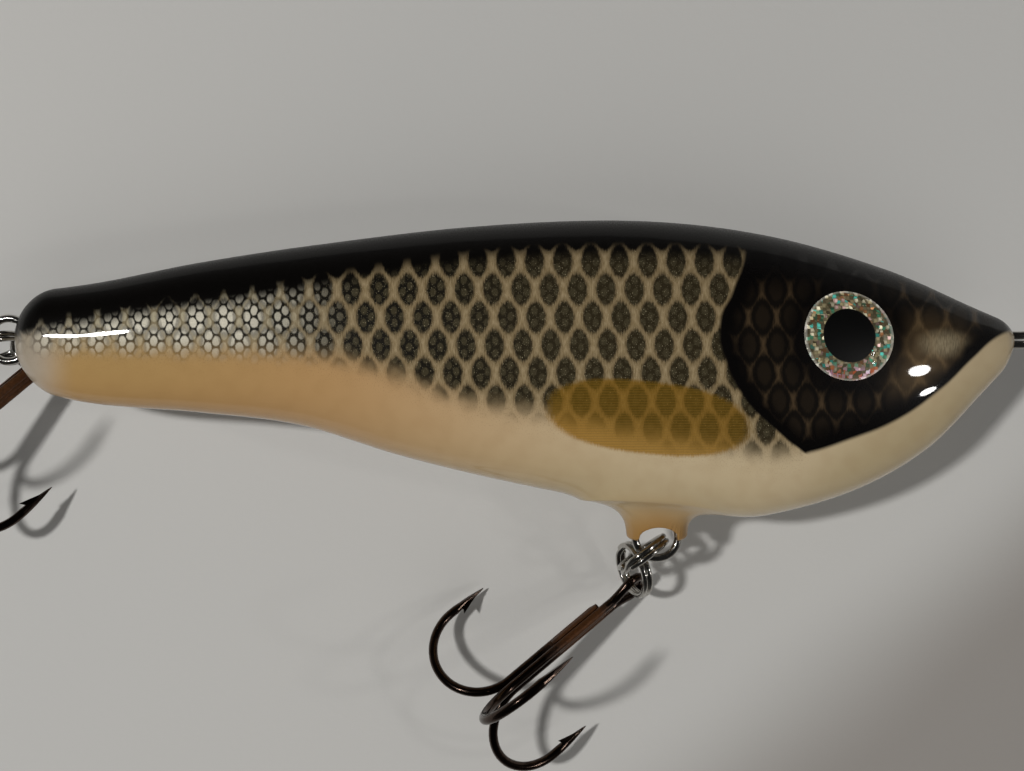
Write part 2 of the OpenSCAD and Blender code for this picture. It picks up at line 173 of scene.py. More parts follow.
def new_material(name):
    """Material, its node tree and its one shader."""
    m = bpy.data.materials.new(name)
    m.use_nodes = True
    m.node_tree.nodes.clear()
    shader = m.node_tree.nodes.new("ShaderNodeBsdfPrincipled")
    out = m.node_tree.nodes.new("ShaderNodeOutputMaterial")
    m.node_tree.links.new(shader.outputs[0], out.inputs[0])
    return m, m.node_tree, shader


def object_place(tree):
    """Object coordinates as millimetres from BASE."""
    co = add(tree, "ShaderNodeTexCoord").outputs["Object"]
    mm = add(tree, "ShaderNodeVectorMath", {0: co, 1: BASE}, operation="SUBTRACT").outputs[0]
    return add(tree, "ShaderNodeVectorMath", {0: mm, "Scale": 1 / MM}, operation="SCALE").outputs[0]


def noise(tree, vector, scale, detail=2.0, stretch=(1, 1, 1)):
    """Noise by scale per unit of the vector, drawn out by stretch."""
    v = add(tree, "ShaderNodeVectorMath", {0: vector, 1: stretch}, operation="MULTIPLY").outputs[0]
    return add(tree, "ShaderNodeTexNoise", {"Vector": v, "Scale": scale, "Detail": detail}).outputs["Fac"]


# ---------------------------------------------------------------- room and lights
# Dark above, lighter towards the horizon, so that the clear coat stays black on top and greys at its rim.
world = bpy.data.worlds.new("room")
scene.world = world
world.use_nodes = True
wt = world.node_tree
wt.nodes.clear()
up = add(wt, "ShaderNodeSeparateXYZ", {0: add(wt, "ShaderNodeTexCoord").outputs["Generated"]}).outputs[2]
glow = step(wt, up, 0.0, 0.6, 0.06, 0.014)
background = add(wt, "ShaderNodeBackground", {"Color": (1.0, 0.98, 0.96, 1.0), "Strength": glow})
wt.links.new(background.outputs[0], add(wt, "ShaderNodeOutputWorld").inputs[0])


LIGHT, WARM_LIGHT = (1.0, 0.985, 0.965), (1.0, 0.98, 0.95)


def lamp(name, direction, distance, size, power, colour, mirrored=False):
    """Round lamp aimed at the body's middle. Only a mirrored one shows in the clear coat."""
    data = bpy.data.lights.new(name, "AREA")
    data.shape = "DISK"
    data.size = size
    data.energy = power
    data.color = colour
    o = bpy.data.objects.new(name, data)
    scene.collection.objects.link(o)
    aim = Vector(direction).normalized()
    centre = place(75, -5, -13)
    o.location = centre + aim * distance
    o.rotation_euler = aim.to_track_quat("Z", "Y").to_euler()
    o.visible_glossy = mirrored


lamp("lamp_left", (-0.53, 0.14, 0.84), 1.0, 0.08, 6.2, LIGHT)
lamp("lamp_left_glint", (-0.558, 0.13, 0.82), 1.0, 0.05, 1.3, LIGHT, True)
lamp("lamp_soft", (0.25, -0.78, 0.57), 1.2, 1.5, 6.3, LIGHT)
lamp("lamp_right", (0.796, -0.19, 0.56), 1.0, 0.07, 0.5, WARM_LIGHT, True)
lamp("lamp_right_low", (0.753, 0.02, 0.65), 1.0, 0.08, 0.6, WARM_LIGHT, True)

# ---------------------------------------------------------------- paper
# A matt sheet just under the lowest point, with painted shadow darkening it towards one corner.
PAPER_GAP = 0.05 * MM
spot = place(75, -7, 0)
bpy.ops.mesh.primitive_plane_add(size=1.6, location=(spot.x, spot.y, cad_box[0][2] - PAPER_GAP))
floor = bpy.context.object
floor.name = "paper"
m, t, shader = new_material("paper")
co = add(t, "ShaderNodeTexCoord").outputs["Object"]
patch = noise(t, co, 9.0, 2.0)
fine = noise(t, co, 700.0, 3.0)
base = blend(t, patch, lin("#b1b1af"), lin("#b7b6b3"))
part = add(t, "ShaderNodeSeparateXYZ", {0: co})
# painted shadow: the sheet's colour darkens towards one corner
painted_corner_shadow = calc(t, "SUBTRACT", calc(t, "MULTIPLY", part.outputs[0], 0.75), part.outputs[1])
painted_corner_shadow = calc(t, "MULTIPLY_ADD", noise(t, co, 14.0, 1.0), 0.02, painted_corner_shadow)
base = blend(t, step(t, painted_corner_shadow, 0.081, 0.116, 0.0, 0.8), base, lin("#7f7a75"))
t.links.new(base, shader.inputs["Base Color"])
shader.inputs["Roughness"].default_value = 0.85
shader.inputs["Specular IOR Level"].default_value = 0.15
bump = add(t, "ShaderNodeBump", {"Strength": 0.12, "Distance": 0.0003, "Height": fine})
t.links.new(bump.outputs[0], shader.inputs["Normal"])
floor.data.materials.append(m)

# ---------------------------------------------------------------- paint of the flanks
# Printed scales over tan pearl, a black back, a dark head mask and a clear coat over everything.
m, t, shader = new_material("printed_flank")
paint = m
p = object_place(t)
xyz = add(t, "ShaderNodeSeparateXYZ", {0: p})
side = calc(t, "ABSOLUTE", xyz.outputs[2])
# The print is laid out in perspective from EYE_OVER, the camera's place; the far flank has its mirror image.
spread = calc(t, "DIVIDE", 1.0, calc(t, "MULTIPLY_ADD", side, -1 / EYE_OVER[2], 1.0))
U = calc(t, "MULTIPLY_ADD", calc(t, "SUBTRACT", xyz.outputs[0], EYE_OVER[0]), spread, EYE_OVER[0])
V = calc(t, "MULTIPLY_ADD", calc(t, "SUBTRACT", xyz.outputs[1], EYE_OVER[1]), spread, EYE_OVER[1])
UV = add(t, "ShaderNodeCombineXYZ", {0: U, 1: V, 2: 0.0}).outputs[0]
wobble = noise(t, UV, 0.35, 1.0)
brush = noise(t, UV, 2.2, 3.0, (2.4, 0.45, 1))
grain = noise(t, UV, 5.0, 2.0, (1.3, 0.8, 1))


def lattice(tree, u, v, pitch_u, pitch_v, half_u, half_v, at_u, at_v, power=2.0):
    """Distance to the nearest of a set of ellipses in staggered rows, 1 at their edge."""
    best = None
    for shift in (0.0, 0.5):
        cells = []
        for value, pitch, half, at in ((u, pitch_u, half_u, at_u), (v, pitch_v, half_v, at_v)):
            c = calc(tree, "SUBTRACT", calc(tree, "DIVIDE", calc(tree, "SUBTRACT", value, at), pitch), shift)
            c = calc(tree, "SUBTRACT", c, calc(tree, "ROUND", c))
            cells.append(calc(tree, "MULTIPLY", c, pitch / half))
        d = calc(tree, "POWER", calc(tree, "ADD", *[calc(tree, "POWER", calc(tree, "ABSOLUTE", c), power)
                 for c in cells]), 1 / power)
        best = d if best is None else calc(tree, "MINIMUM", best, d)
    return best


lean = calc(t, "MULTIPLY_ADD", V, 0.03, U)
scale_d = lattice(t, lean, V, 4.27, 8.42, 1.5, 2.5, 88.9, 7.63, 1.75)
dot_d = lattice(t, calc(t, "MULTIPLY_ADD", wobble, 0.7, U), V, 2.34, 1.84, 0.56, 0.74, 88.7, 7.2)
fuzz = calc(t, "MULTIPLY_ADD", brush, 0.5, -0.25)
scale_edge = calc(t, "ADD", scale_d, fuzz)
rear = step(t, U, 30.0, 52.0, 1.0, 0.0)

# pearl ground, from silver grey high on the flank to peach and cream at the belly, darkened below towards the
# keel by painted shade
low_line = curve(t, U, [(0, -0.4), (22, -0.8), (44, -1.8), (55, -4.2), (64, -7.5), (73, -9.8), (85, -11.5),
                 (95, -14), (106, -15.5), (115, -16.5), (120, -13), (128, -6), (150, 4.5)], -20.0, 5.0)
under = calc(t, "SUBTRACT", V, low_line)
ground_front = blend(t, step(t, U, 40.0, 100.0), lin("#a8855a"), lin("#b5a485"))
ground_rear = blend(t, step(t, U, 2.0, 9.0), lin("#a39684"), lin("#9f8152"))
ground = blend(t, step(t, U, 10.0, 60.0), ground_rear, ground_front)
# the belly's own tone below the low line, darkened towards the keel as painted shade where the flank turns under
keel_tone_and_shade = calc(t, "MULTIPLY", step(t, under, -3.0, -13.0), 0.6)
ground = blend(t, keel_tone_and_shade, ground, blend(t, step(t, U, 20.0, 90.0), lin("#956f45"), lin("#a0906d")))
net = blend(t, brush, lin("#6f5c38"), lin("#a39376"))
net = blend(t, calc(t, "MULTIPLY", rear, 0.75), net, blend(t, grain, lin("#6e6552"), lin("#aaa592")))
dot_size = calc(t, "MULTIPLY_ADD", rear, -0.17, 1.0)
dot_edge = calc(t, "MULTIPLY_ADD", grain, 0.5, calc(t, "MULTIPLY_ADD", dot_d, dot_size, -0.25))
dot = step(t, dot_edge, 0.7, 1.0, 1.0, 0.0)
studded = blend(t, dot, lin("#7b7056"), blend(t, grain, lin("#8f8568"), lin("#cbc4ab")))
net = blend(t, calc(t, "MULTIPLY", rear, 0.8), net, studded)
halo = step(t, scale_edge, 1.0, 1.5, 0.5, 0.0)
net = blend(t, halo, net, lin("#4b3d25"))
ground = blend(t, step(t, wobble, 0.35, 0.75, 0.0, 0.1), ground, lin("#84653c"))
pearl = blend(t, step(t, under, -3.0, 2.4), ground, net)
speck = calc(t, "MULTIPLY", step(t, grain, 0.56, 0.68), calc(t, "MULTIPLY",
             step(t, under, -6.0, 0.5), 0.5))
pearl = blend(t, speck, pearl, lin("#5c4a30"))

# dark scales with the fine dots of the print showing inside them
dot_dark = blend(t, grain, lin("#29251a"), lin("#4c4532"))
dot_tone = blend(t, rear, dot_dark, blend(t, grain, lin("#a9a28e"), lin("#f6f1e0")))
core = blend(t, step(t, U, 55.0, 88.0), lin("#15130e"), lin("#2a2417"))
inside = blend(t, calc(t, "MULTIPLY", dot, 0.85), core, dot_tone)
inside = blend(t, step(t, scale_edge, 0.7, 0.98, 0.0, 0.55), inside, lin("#14110b"))
size = calc(t, "MULTIPLY_ADD", rear, 0.16, 1.0)
scale_mask = step(t, calc(t, "DIVIDE", scale_edge, size), 0.82, 1.12, 1.0, 0.0)
lower = step(t, calc(t, "ADD", under, calc(t, "MULTIPLY_ADD", wobble, 3.0, -1.5)), -2.6, 2.4)
scale_mask = calc(t, "MULTIPLY", scale_mask, lower)
colour = blend(t, scale_mask, pearl, inside)
sparkle = calc(t, "MULTIPLY", step(t, grain, 0.62, 0.74), step(t, under, -1.5, 2.5))
colour = blend(t, calc(t, "MULTIPLY", sparkle, 0.5), colour, lin("#c9bd9a"))

# clear amber fin with rays behind the head
fin_u = calc(t, "DIVIDE", calc(t, "SUBTRACT", U, 95.0), 15.4)
fin_v = calc(t, "DIVIDE", calc(t, "SUBTRACT", V, calc(t, "MULTIPLY_ADD", fin_u, -1.6, -11.7)), 5.6)
fin_d = calc(t, "ADD", *[calc(t, "POWER", calc(t, "ABSOLUTE", v), 2.4) for v in (fin_u, fin_v)])
fin = step(t, calc(t, "MULTIPLY_ADD", brush, 0.3, fin_d), 0.95, 1.25, 1.0, 0.0)
rays = add(t, "ShaderNodeTexWave", {"Vector": add(t, "ShaderNodeCombineXYZ",
           {0: calc(t, "MULTIPLY", V, 0.8), 1: calc(t, "MULTIPLY", U, 0.06), 2: 0.0}).outputs[0],
           "Scale": 1.0, "Distortion": 1.5, "Detail": 1.0}).outputs["Fac"]
amber = add(t, "ShaderNodeMix", {0: 1.0}, data_type="RGBA", blend_type="MULTIPLY")
t.links.new(colour, amber.inputs[6])
amber.inputs[7].default_value = lin("#dcb24c")
rayed = blend(t, calc(t, "MULTIPLY", step(t, rays, 0.4, 0.1), 0.55), amber.outputs[2], lin("#6b4c1c"))
rayed = blend(t, 0.38, rayed, lin("#7d621d"))
colour = blend(t, calc(t, "MULTIPLY", fin, 0.9), colour, rayed)

# nub and tail tip
nub_d = far_from(t, U, V, 96.5, -31.0, 1.0, 1 / 1.4)
colour = blend(t, step(t, nub_d, 13.0, 2.0, 0.0, 0.9), colour, lin("#86602a"))
colour = blend(t, step(t, U, 6.0, 0.5, 0.0, 0.7), colour, lin("#8f8678"))

# black back with a soft lower edge
back_line = curve(t, U, [(0, 1.2), (4, 2.3), (15, 4.2), (22, 5.3), (30, 6.3), (44, 8.6), (55, 10.6), (73, 12.9),
                  (92, 13.6), (106, 13.2), (118, 12.0), (135, 6.5), (150, 1.5)], -5.0, 20.0)
back_edge = calc(t, "SUBTRACT", V, back_line)
back_edge = calc(t, "ADD", back_edge, calc(t, "MULTIPLY", scale_mask, 1.1))
black = step(t, calc(t, "ADD", back_edge, fuzz), -1.3, 1.4)
colour = blend(t, black, colour, lin("#060504"))

# head mask: black outline, faint scales, and painted light as a warm patch on the cheek and a grey patch at the
# nose
mask_rear = curve(t, calc(t, "ADD", V, 75.0), [
    (0, 124), (55, 122), (58, 118.5), (61.5, 114.2), (67, 109.0), (72, 106.6), (76.4, 105.7), (82, 107.6),
    (88.6, 109.7), (92, 110), (150, 112)], 100.0, 130.0)
behind = calc(t, "SUBTRACT", U, mask_rear)
jaw_line = curve(t, U, [(0, -30), (110, -22), (118.8, -17.2), (121, -16.6), (125, -15.2), (131, -12.9),
                 (139, -7.6), (144, -2.8), (148, 0.6), (150, 1.5)], -30.0, 5.0)
above_jaw = calc(t, "SUBTRACT", V, jaw_line)
rim_d = calc(t, "MINIMUM", behind, above_jaw)
head = step(t, rim_d, -0.35, 0.45)
cheek_net = blend(t, step(t, scale_edge, 1.0, 1.5), lin("#0f0c09"), lin("#423525"))
cheek_net = blend(t, step(t, scale_edge, 0.55, 0.85, 0.55, 0.0), cheek_net, lin("#221b13"))
# painted light: a warm lighter patch on the cheek, strongest on the net between the scales
cheek_d = far_from(t, U, V, 137.0, -3.0, 9.0, 8.0)
painted_light_patch = calc(t, "MULTIPLY", step(t, cheek_d, 1.1, 0.2), step(t, scale_edge, 0.8, 1.4, 0.45, 1.0))
warm = blend(t, painted_light_patch, cheek_net, blend(t, wobble, lin("#4b3a26"), lin("#7b6648")))
# painted light: a grey patch at the nose, streaked by the brush noise
nose_d = far_from(t, U, V, 139.6, -0.6, 4.6, 2.6)
painted_light_patch = calc(t, "MULTIPLY", step(t, nose_d, 1.1, 0.1), step(t, brush, 0.3, 0.7, 0.5, 1.0))
warm = blend(t, painted_light_patch, warm, lin("#8d8168"))
dark_rim = step(t, calc(t, "MULTIPLY_ADD", wobble, 2.0, rim_d), 2.2, 6.0)
warm = blend(t, dark_rim, lin("#050404"), warm)
top_dark = step(t, V, 11.5, 5.0)
warm = blend(t, top_dark, lin("#050404"), warm)
eye_d = far_from(t, U, V, 125.2, 0.6)
warm = blend(t, step(t, eye_d, 11.0, 7.5, 0.0, 0.9), warm, lin("#060505"))
colour = blend(t, head, colour, warm)

t.links.new(colour, shader.inputs["Base Color"])
t.links.new(step(t, grain, 0.3, 0.7, 0.34, 0.5), shader.inputs["Roughness"])
foil = calc(t, "MULTIPLY", calc(t, "MULTIPLY", rear, lower), 0.1)
t.links.new(foil, shader.inputs["Metallic"])
shader.inputs["Specular IOR Level"].default_value = 0.1
t.links.new(calc(t, "MULTIPLY_ADD", black, -0.7, 1.0), shader.inputs["Coat Weight"])
shader.inputs["Coat Roughness"].default_value = 0.035
shader.inputs["Coat IOR"].default_value = 1.42
ripple = noise(t, p, 0.12, 1.0)
coat = add(t, "ShaderNodeBump", {"Strength": 0.25, "Distance": 0.0004, "Height": ripple})
t.links.new(coat.outputs[0], shader.inputs["Coat Normal"])
under_bump = add(t, "ShaderNodeBump", {"Strength": 0.2, "Distance": 0.00008, "Height": grain})
t.links.new(under_bump.outputs[0], shader.inputs["Normal"])

# ---------------------------------------------------------------- body skins
# The same outlines as the CAD loft, with the nub drawn out of the keel.
BACK = [[0, 0.158], [0.083, 0.195], [0.183, 0.262], [0.304, 0.324], [0.465, 0.386],
        [0.62, 0.403], [0.747, 0.355], [0.867, 0.24], [0.958, 0.108], [1, 0.05]]
BELLY = [[0, 0.156], [0.072, 0.215], [0.183, 0.247], [0.284, 0.29], [0.384, 0.393],
         [0.485, 0.477], [0.6, 0.552], [0.7, 0.595], [0.747, 0.597], [0.837, 0.511],
         [0.907, 0.376], [0.963, 0.188], [1, 0.06]]
FLANK = [[0, 0.4], [0.1, 0.48], [0.25, 0.62], [0.45, 0.82], [0.62, 0.97], [0.7, 1],
         [0.8, 0.955], [0.9, 0.74], [0.96, 0.47], [1, 0.2]]
POWER, TAIL_ROUND, NOSE_ROUND = 2.15, 6.0, 3.0
NUB_FOOT, NUB_FLAT, NUB_ROUND = 0.4, 3.7, 0.9  # foot under the hanger's middle, its flat radius, its edge
NUB_SPREAD = 3.0                               # how far out the flare runs across the body
NUB_BLEND = 3.2                                # softness of the join of nub and keel
NUB_SPAN, NUB_STEP = 12.5, 0.2                 # finer sections on either side of the nub
END_GAP, ALONG, CLOSE = 0.02, 200, 0.004       # first section, steps along the body, least step
ROWS, KEEL_CROWD = 110, 1.35                   # steps from keel to back, crowded towards the keel


def new_object(name, verts, faces, smooth=None):
    """Mesh object in the scene; smooth tells for each face whether it is smooth."""
    mesh = bpy.data.meshes.new(name)
    mesh.from_pydata(verts, [], faces)
    mesh.update()
    if smooth:
        mesh.polygons.foreach_set("use_smooth", smooth)
    o = bpy.data.objects.new(name, mesh)
    scene.collection.objects.link(o)
    return o


def finish_piece(o, material, body, node):
    """Material, body and hidden CAD node of a finished piece."""
    o.data.materials.append(material)
    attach(o, body)
    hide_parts(node)


def through(points, u):
    """Height over a place of a smooth curve through the points."""
    def slope(i):
        a, b = points[max(i - 1, 0)], points[min(i + 1, len(points) - 1)]
        return (b[1] - a[1]) / (b[0] - a[0])
    i = max(k for k in range(len(points) - 1) if points[k][0] <= max(u, 0.0))
    w = points[i + 1][0] - points[i][0]
    s = (u - points[i][0]) / w
    return ((2 * s ** 3 - 3 * s * s + 1) * points[i][1] + (s ** 3 - 2 * s * s + s) * w * slope(i)
            + (3 * s * s - 2 * s ** 3) * points[i + 1][1] + (s ** 3 - s * s) * w * slope(i + 1))


def ends(x):
    """Share of the full section that the rounded ends leave at x."""
    def cap(d, r):
        return 1.0 if d >= r else math.sqrt(max(0.0, 1 - (1 - d / r) ** 2))
    return cap(x, TAIL_ROUND) * cap(BODY_LEN - x, NOSE_ROUND)


def skin_z(x, y):
    """Height of the flank over a point of the parting plane."""
    u, e = x / BODY_LEN, ends(x)
    top, low = through(BACK, u) * BODY_H * e, -through(BELLY, u) * BODY_H * e
    k = abs((2 * y - top - low) / (top - low))
    return through(FLANK, u) * BODY_T / 2 * e * max(0.0, 1 - k ** POWER) ** (1 / POWER)


def nub_floor(x, z):
    """Lowest surface of the nub over a place of the keel; it climbs away clear of it."""
    z = abs(z)
    edge = NUB_T / 2
    across = z * NUB_W / NUB_T if z < edge else NUB_W / 2 + (z - edge) * NUB_FLARE / NUB_SPREAD
    r = math.hypot(x - NUB_X, across)
    foot = NUB_Y - NUB_FOOT
    half = NUB_W / 2
    if r >= half + NUB_FLARE:
        return foot + r - half
    if r <= NUB_FLAT:
        y = foot
    elif r <= half:
        y = foot + NUB_ROUND * (1 - math.sqrt(max(0.0, 1 - ((r - NUB_FLAT) / (half - NUB_FLAT)) ** 2)))
    else:
        climb = math.sqrt(max(0.0, 1 - (1 - (r - half) / NUB_FLARE) ** 2))
        y = foot + NUB_ROUND + (NUB_FLARE - NUB_ROUND) * climb
    if abs(x - NUB_X) < NOTCH_R:
        y = max(y, NUB_Y + NUB_NOTCH * math.sqrt(1 - ((x - NUB_X) / NOTCH_R) ** 2))
    return y


def softer_min(a, b, k):
    """The lesser of a and b, with a soft change from one to the other."""
    h = max(k - abs(a - b), 0.0) / k
    return min(a, b) - h * h * k / 4


def skin_point(x, a):
    """Point of the section at x; angle -90 degrees is the keel and 90 the back."""
    u, e = x / BODY_LEN, ends(x)
    top, low = through(BACK, u) * BODY_H * e, -through(BELLY, u) * BODY_H * e
    sa, ca = math.sin(a), max(0.0, math.cos(a))
    y = (top + low) / 2 + math.copysign(abs(sa) ** (2 / POWER), sa) * (top - low) / 2
    z = ca ** (2 / POWER) * through(FLANK, u) * BODY_T / 2 * e
    if y < (top + low) / 2:
        y = softer_min(y, nub_floor(x, z), NUB_BLEND)
    if x < 1.0 and abs(y) < NOTCH_R:
        x = max(x, TAIL_NOTCH * math.sqrt(1 - (y / NOTCH_R) ** 2) + TAIL_EYE_X)
    return Vector((x, y, z))


def stations():
    """Places of the sections, closer at both ends and round the nub."""
    xs = [END_GAP + (BODY_LEN - 2 * END_GAP) * (1 - math.cos(math.pi * i / ALONG)) / 2 for i in range(ALONG + 1)]
    xs += [NUB_X - NUB_SPAN + NUB_STEP * i for i in range(round(2 * NUB_SPAN / NUB_STEP) + 1)]
    xs = sorted(xs)
    return [x for i, x in enumerate(xs) if i == 0 or x - xs[i - 1] > CLOSE]


def skin(name, node, sign):
    """One flank with smooth normals, closed at both ends."""
    xs = stations()
    angles = [-math.pi / 2 + math.pi * (j / ROWS) ** KEEL_CROWD for j in range(ROWS + 1)]
    grid = [[skin_point(x, a) for a in angles] for x in xs]
    n = ROWS + 1
    verts, normals = [], []
    for i, row in enumerate(grid):
        for j, q in enumerate(row):
            before, after = grid[max(i - 1, 0)][j], grid[min(i + 1, len(xs) - 1)][j]
            down = row[j - 1] if j > 0 else Vector((row[1].x, row[1].y, -row[1].z))
            upper = row[j + 1] if j < ROWS else Vector((row[-2].x, row[-2].y, -row[-2].z))
            normal = (after - before).cross(upper - down)
            if normal.length < 1e-9:
                normal = Vector((-1 if i < 5 else 1, 0, 0))
            normal.normalize()
            verts.append(place(q.x, q.y, sign * q.z))
            normals.append(Vector((normal.x, normal.y, sign * normal.z)))
    faces = []
    for i in range(len(xs) - 1):
        for j in range(ROWS):
            q = (i * n + j, (i + 1) * n + j, (i + 1) * n + j + 1, i * n + j + 1)
            faces.append(q if sign > 0 else q[::-1])
    for i in (0, len(xs) - 1):
        ring = [i * n + j for j in range(n)]
        faces.append(tuple(ring[::-1] if (sign > 0) == (i > 0) else ring))
    o = new_object(name, verts, faces, [True] * len(faces))
    o.data.normals_split_custom_set_from_vertices(normals)
    finish_piece(o, paint, "lure_body", node)


skin("flank_right", "body_shell_right", 1)
skin("flank_left", "body_shell_left", -1)

# ---------------------------------------------------------------- eyes
# A printed foil disc under a domed lens on each flank.
FOIL_RISE, LENS_DOME, LENS_LAP, PUPIL_R = 0.06, 1.3, 0.02, 3.72
m, t, shader = new_material("glitter_foil")
foil_mat = m
p = object_place(t)
xyz = add(t, "ShaderNodeSeparateXYZ", {0: p})
du = calc(t, "SUBTRACT", xyz.outputs[0], EYE_X)
dv = calc(t, "SUBTRACT", xyz.outputs[1], EYE_Y)
r = length_of(t, du, dv)
cells = add(t, "ShaderNodeTexVoronoi", {"Vector": p, "Scale": 1.9, "Randomness": 0.8}, distance="CHEBYCHEV")
fleck = add(t, "ShaderNodeSeparateColor", {0: cells.outputs["Color"]})
hue = add(t, "ShaderNodeValToRGB", {0: fleck.outputs[0]})
stops = [(0.0, "#7d7357"), (0.2, "#a89c78"), (0.34, "#4f9a78"), (0.42, "#62d8c6"), (0.5, "#93876a"),
         (0.66, "#e2dabb"), (0.8, "#b07a52"), (0.88, "#c9a7a0"), (0.94, "#857a5c")]
hue.color_ramp.interpolation = "CONSTANT"
for i, (at, hexa) in enumerate(stops):
    e = hue.color_ramp.elements[i] if i < 2 else hue.color_ramp.elements.new(at)
    e.position = at
    e.color = lin(hexa)
bright = step(t, fleck.outputs[1], 0.2, 1.0, 0.45, 1.5)
tone = add(t, "ShaderNodeVectorMath", {0: hue.outputs[0], "Scale": bright}, operation="SCALE").outputs[0]
gap = step(t, cells.outputs["Distance"], 0.30, 0.42)
tone = blend(t, calc(t, "MULTIPLY", gap, 0.5), tone, lin("#5a523c"))
low_side = calc(t, "MULTIPLY", step(t, dv, -3.6, -5.4), step(t, fleck.outputs[1], 0.3, 0.6))
red = blend(t, step(t, fleck.outputs[2], 0.4, 0.5), lin("#c4552f"), lin("#c89bb8"))
tone = blend(t, calc(t, "MULTIPLY", low_side, 0.75), tone, red)
pupil = step(t, r, PUPIL_R, PUPIL_R + 0.14, 1.0, 0.0)
tone = blend(t, pupil, tone, lin("#050505"))
edge = step(t, r, 5.95, 6.25)
tone = blend(t, calc(t, "MULTIPLY", edge, 0.5), tone, lin("#d8d6cc"))
t.links.new(tone, shader.inputs["Base Color"])
t.links.new(calc(t, "MULTIPLY_ADD", pupil, -0.35, 0.35), shader.inputs["Metallic"])
shader.inputs["Roughness"].default_value = 0.35
# painted glints: some flecks of the foil glow by emission, outside the pupil
painted_glint = calc(t, "MULTIPLY", step(t, fleck.outputs[2], 0.72, 0.95), 0.9)
t.links.new(calc(t, "MULTIPLY", calc(t, "SUBTRACT", 1.0, pupil), painted_glint), shader.inputs["Emission Strength"])
t.links.new(tone, shader.inputs["Emission Color"])

m, t, shader = new_material("clear_lens")
lens_mat = m
shader.inputs["Base Color"].default_value = (0.0, 0.0, 0.0, 1.0)
shader.inputs["Roughness"].default_value = 0.03
shader.inputs["Alpha"].default_value = 0.1
shader.inputs["Specular IOR Level"].default_value = 0.9


def disc(name, node, sign, radius, rise, material):
    """Round cap that follows the skin, rise(r) above it."""
    rings, sides = 40, 96
    verts = [place(EYE_X, EYE_Y, sign * (skin_z(EYE_X, EYE_Y) + rise(0.0)))]
    for i in range(1, rings + 1):
        r = radius * math.sin(math.pi / 2 * i / rings)
        for k in range(sides):
            a = 2 * math.pi * k / sides
            x, y = EYE_X + EYE_STRETCH * r * math.cos(a), EYE_Y + r * math.sin(a)
            verts.append(place(x, y, sign * (skin_z(x, y) + rise(r))))
    faces = [(0, 1 + k, 1 + (k + 1) % sides) for k in range(sides)]
    for i in range(rings - 1):
        for k in range(sides):
            a, b = 1 + i * sides + k, 1 + i * sides + (k + 1) % sides
            faces.append((a, a + sides, b + sides, b))
    if sign < 0:
        faces = [f[::-1] for f in faces]
    finish_piece(new_object(name, verts, faces, [True] * len(faces)), material, "lure_body", node)


for word, sign in (("right", 1), ("left", -1)):
    disc("foil_" + word, "eye_foil_" + word, sign, EYE_R, lambda r: FOIL_RISE, foil_mat)
    disc("lens_" + word, "eye_lens_" + word, sign, EYE_R + LENS_LAP,
         lambda r: LENS_DOME * max(0.0, 1 - (r / (EYE_R + LENS_LAP)) ** 2.6) ** 0.5, lens_mat)

# ---------------------------------------------------------------- wires
m, t, shader = new_material("bright_wire")
wire_mat = m
p = object_place(t)
shade = noise(t, p, 1.4, 3.0)
t.links.new(blend(t, shade, lin("#9d9a94"), lin("#d9d7d2")), shader.inputs["Base Color"])
shader.inputs["Metallic"].default_value = 1.0
t.links.new(step(t, noise(t, p, 4.0, 2.0), 0.3, 0.7, 0.1, 0.24), shader.inputs["Roughness"])


def tube(name, path, radii, sides=20, flat=None):
    """Closed tube along a path in millimetres. flat gives how far each ring is squared off."""
    path = [Vector(q) for q in path]
    tangents = []
    for i in range(len(path)):
        tangents.append((path[min(i + 1, len(path) - 1)] - path[max(i - 1, 0)]).normalized())
    across = tangents[0].orthogonal().normalized()
    verts, faces = [], []
    for i, q in enumerate(path):
        if i:
            across = tangents[i - 1].rotation_difference(tangents[i]) @ across
            across = (across - tangents[i] * across.dot(tangents[i])).normalized()
        other = tangents[i].cross(across)
        for k in range(sides):
            a = 2 * math.pi * k / sides
            r = radii[i]
            if flat and flat[i] > 0:
                r = r * ((1 - flat[i]) + flat[i] / (abs(math.cos(a)) + abs(math.sin(a))) * 1.15)
            verts.append(place(*(q + across * math.cos(a) * r + other * math.sin(a) * r)))
    for i in range(len(path) - 1):
        for k in range(sides):
            a, b = i * sides + k, i * sides + (k + 1) % sides
            faces.append((a, b, b + sides, a + sides))
    faces.append(tuple(range(sides))[::-1])
    last = (len(path) - 1) * sides
    faces.append(tuple(last + k for k in range(sides)))
    return new_object(name, verts, faces, [len(f) == 4 for f in faces])


def arc(centre, u, v, r, a0, a1, count):
    """Points of an arc in the plane of u and v."""
    angles = [a0 + (a1 - a0) * i / count for i in range(count + 1)]
    return [centre + u * (r * math.cos(a)) + v * (r * math.sin(a)) for a in angles]


def ease(p0, t0, p1, t1, count):
    """Smooth run from p0 along t0 to p1 along t1, its two ends left out."""
    out = []
    for i in range(1, count):
        s = i / count
        out.append(p0 * (2 * s ** 3 - 3 * s * s + 1) + t0 * (s ** 3 - 2 * s * s + s)
                   + p1 * (3 * s * s - 2 * s ** 3) + t1 * (s ** 3 - s * s))
    return out


def eye_path(centre, inward, across, loop_r, open_deg, neck, pitch, leg):
    """Loop and its two legs, from one leg's end to the other's."""
    a = math.radians(open_deg)
    turn = math.radians(360 - open_deg)
    loop = arc(centre, inward, across, loop_r, a, turn, 72)
    start_t = (inward * math.sin(a) - across * math.cos(a))
    end_t = (inward * math.sin(a) + across * math.cos(a))
    legs = []
    for s, first, way in ((1, loop[0], start_t), (-1, loop[-1], end_t)):
        knee = centre + inward * neck + across * (s * pitch)
        run = (knee - first).length
        foot = centre + inward * leg + across * (s * pitch)
        legs.append(ease(first, way * run, knee, inward * run, 14) + [knee, foot])
    return legs[0][::-1] + loop + legs[1]


